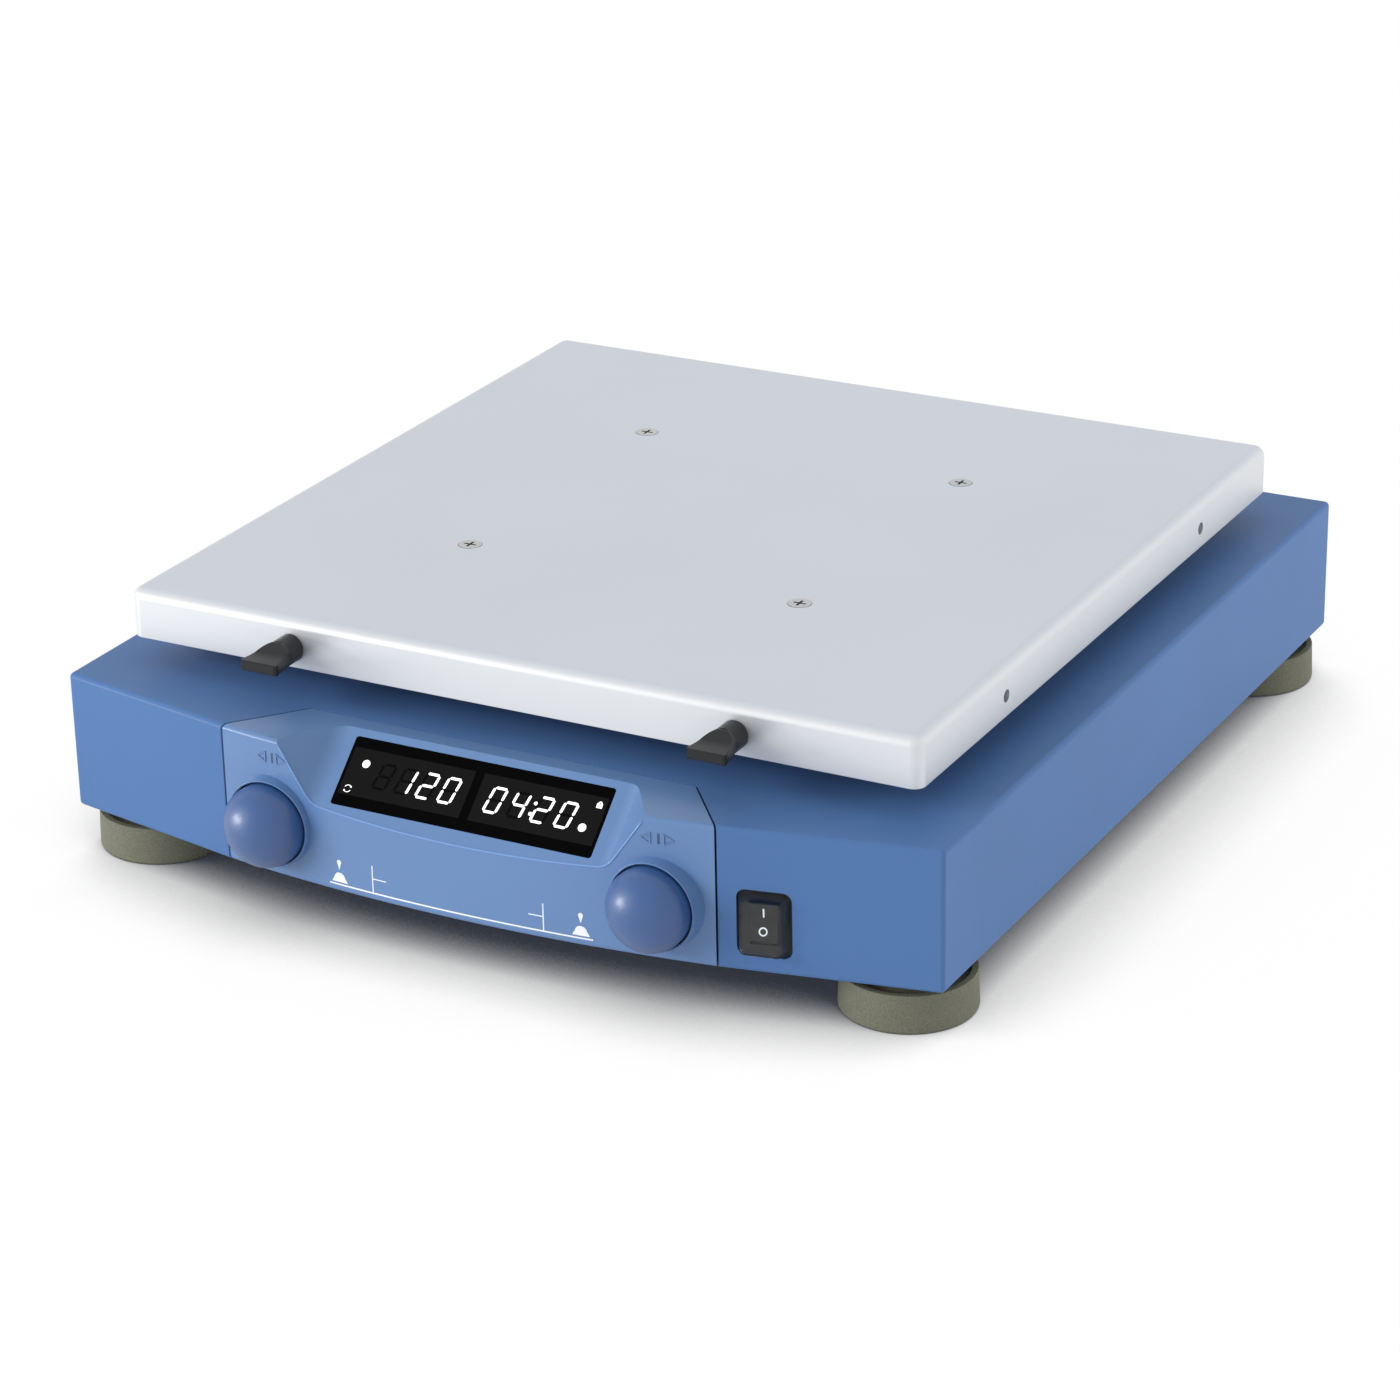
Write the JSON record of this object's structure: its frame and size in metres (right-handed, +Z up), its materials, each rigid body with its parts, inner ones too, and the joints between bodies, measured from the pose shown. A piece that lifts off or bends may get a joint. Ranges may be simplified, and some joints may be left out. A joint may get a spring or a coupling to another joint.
{
  "type": "orbital shaker",
  "caption": "Low bench shaker with a square metal tray that a central crank and corner guide cranks drive round a small circle, with a knob and display front panel.",
  "frame": {"origin": "on the floor, below the middle of the whole object's box", "axes": "+Z up, -Y towards the operator's side with the knobs and display, +X to the operator's right"},
  "size_m": [0.3727, 0.4246, 0.106],
  "materials": {
    "housing_paint": "semi-gloss powder coat",
    "panel_plastic": "satin moulded plastic",
    "knob_plastic": "satin moulded plastic",
    "base_steel": "zinc plated sheet",
    "foot_rubber": "matt rubber",
    "fastener_steel": "plated",
    "display_black": "gloss",
    "circuit_board": "solder mask",
    "encoder_metal": "plated",
    "switch_plastic": "fine grain",
    "boot_clear": "clear flexible film",
    "contact_metal": "plated",
    "socket_shell": "tin plated",
    "motor_case": "matt coat",
    "bracket_steel": "zinc plated sheet",
    "belt_rubber": "matt",
    "block_aluminium": "machined",
    "bearing_steel": "ground",
    "crank_steel": "turned",
    "pulley_aluminium": "turned",
    "weight_iron": "as cast",
    "cap_plastic": "moulded",
    "carrier_aluminium": "cast, machined seats",
    "tray_aluminium": "fine satin",
    "thumb_plastic": "fine grain",
    "fuse_ceramic": "glazed"
  },
  "bodies": {
    "base": {"housing_shell": "housing_paint", "base_plate": "base_steel", "base_plate_screws": "fastener_steel", "rubber_feet": "foot_rubber", "foot_screws": "fastener_steel", "control_panel": "panel_plastic", "panel_screws": "fastener_steel", "display_window": "display_black", "display_board": "circuit_board", "control_board": "circuit_board", "speed_encoder": "encoder_metal", "timer_encoder": "encoder_metal", "switch_frame": "switch_plastic", "switch_boot": "boot_clear", "mains_inlet": "switch_plastic", "inlet_pins": "contact_metal", "inlet_screws": "fastener_steel", "data_socket": "socket_shell", "data_socket_posts": "fastener_steel", "motor_body": "motor_case", "motor_bracket": "bracket_steel", "motor_posts": "fastener_steel", "drive_belt": "belt_rubber", "drive_bearing_block": "block_aluminium", "drive_bearings": "bearing_steel", "guide_bearing_blocks": "block_aluminium", "guide_bearings": "bearing_steel", "block_screws": "fastener_steel", "power_supply_board": "circuit_board", "motor_driver_board": "circuit_board", "board_posts": "fastener_steel"},
    "drive_crank": {"drive_shaft": "crank_steel", "drive_pulley": "pulley_aluminium", "counterweight": "weight_iron", "drive_splash_cap": "cap_plastic"},
    "motor_rotor": {"motor_shaft": "crank_steel", "motor_pulley": "pulley_aluminium"},
    "crank_front_left": {"guide_crank_front_left": "crank_steel"},
    "crank_front_right": {"guide_crank_front_right": "crank_steel"},
    "crank_rear_left": {"guide_crank_rear_left": "crank_steel"},
    "crank_rear_right": {"guide_crank_rear_right": "crank_steel"},
    "platform": {"tray_carrier": "carrier_aluminium", "carrier_bearings": "bearing_steel", "tray": "tray_aluminium", "tray_screws": "fastener_steel", "skirt_nuts": "fastener_steel"},
    "left_thumb_screw": {"thumb_screw_left": "thumb_plastic"},
    "right_thumb_screw": {"thumb_screw_right": "thumb_plastic"},
    "speed_push": {"speed_plunger": "cap_plastic"},
    "speed_dial": {"speed_stem": "encoder_metal", "speed_knob": "knob_plastic"},
    "timer_push": {"timer_plunger": "cap_plastic"},
    "timer_dial": {"timer_stem": "encoder_metal", "timer_knob": "knob_plastic"},
    "rocker": {"power_rocker": "switch_plastic"},
    "fuse_tray": {"fuse_drawer": "switch_plastic", "fuse_link": "fuse_ceramic"}
  },
  "joints": [
    {"name": "drive_spin", "type": "hinge", "parent": "base", "child": "drive_crank", "pos_m": [0, 0.01584, 0.07], "axis": [0, 0, 1], "continuous": true},
    {"name": "tray_orbit", "type": "hinge", "parent": "drive_crank", "child": "platform", "pos_m": [0, 0.01084, 0.09], "axis": [0, 0, 1], "continuous": true},
    {"name": "motor_spin", "type": "hinge", "parent": "base", "child": "motor_rotor", "pos_m": [0, 0.13384, 0.05], "axis": [0, 0, 1], "continuous": true},
    {"name": "front_left_crank_spin", "type": "hinge", "parent": "base", "child": "crank_front_left", "pos_m": [-0.097, -0.08116, 0.07], "axis": [0, 0, 1], "continuous": true},
    {"name": "front_right_crank_spin", "type": "hinge", "parent": "base", "child": "crank_front_right", "pos_m": [0.097, -0.08116, 0.07], "axis": [0, 0, 1], "continuous": true},
    {"name": "rear_left_crank_spin", "type": "hinge", "parent": "base", "child": "crank_rear_left", "pos_m": [-0.097, 0.11284, 0.07], "axis": [0, 0, 1], "continuous": true},
    {"name": "rear_right_crank_spin", "type": "hinge", "parent": "base", "child": "crank_rear_right", "pos_m": [0.097, 0.11284, 0.07], "axis": [0, 0, 1], "continuous": true},
    {"name": "left_thumb_screw_turn", "type": "hinge", "parent": "platform", "child": "left_thumb_screw", "pos_m": [-0.094, -0.15616, 0.094], "axis": [0, -1, 0], "continuous": true},
    {"name": "right_thumb_screw_turn", "type": "hinge", "parent": "platform", "child": "right_thumb_screw", "pos_m": [0.094, -0.15616, 0.094], "axis": [0, -1, 0], "continuous": true},
    {"name": "speed_knob_push", "type": "slide", "parent": "base", "child": "speed_push", "axis": [0, 1, 0], "range_m": [0, 0.0012], "stiffness_N_per_m": 800},
    {"name": "speed_knob_turn", "type": "hinge", "parent": "speed_push", "child": "speed_dial", "pos_m": [-0.0812, -0.19384, 0.0409], "axis": [0, -1, 0], "continuous": true},
    {"name": "timer_knob_push", "type": "slide", "parent": "base", "child": "timer_push", "axis": [0, 1, 0], "range_m": [0, 0.0012], "stiffness_N_per_m": 800},
    {"name": "timer_knob_turn", "type": "hinge", "parent": "timer_push", "child": "timer_dial", "pos_m": [0.0812, -0.19384, 0.0409], "axis": [0, -1, 0], "continuous": true},
    {"name": "power_rocker_swing", "type": "hinge", "parent": "base", "child": "rocker", "pos_m": [0.11964, -0.1805, 0.0381], "axis": [0.9809, 0.1947, 0], "range_deg": [0, 16]},
    {"name": "fuse_drawer_slide", "type": "slide", "parent": "base", "child": "fuse_tray", "axis": [0, 1, 0], "range_m": [0, 0.024]}
  ],
  "couplings": [
    {"joint": "tray_orbit", "follows": "drive_spin", "ratio": -1},
    {"joint": "motor_spin", "follows": "drive_spin", "ratio": 4},
    {"joint": "front_left_crank_spin", "follows": "drive_spin", "ratio": 1},
    {"joint": "front_right_crank_spin", "follows": "drive_spin", "ratio": 1},
    {"joint": "rear_left_crank_spin", "follows": "drive_spin", "ratio": 1},
    {"joint": "rear_right_crank_spin", "follows": "drive_spin", "ratio": 1}
  ]
}
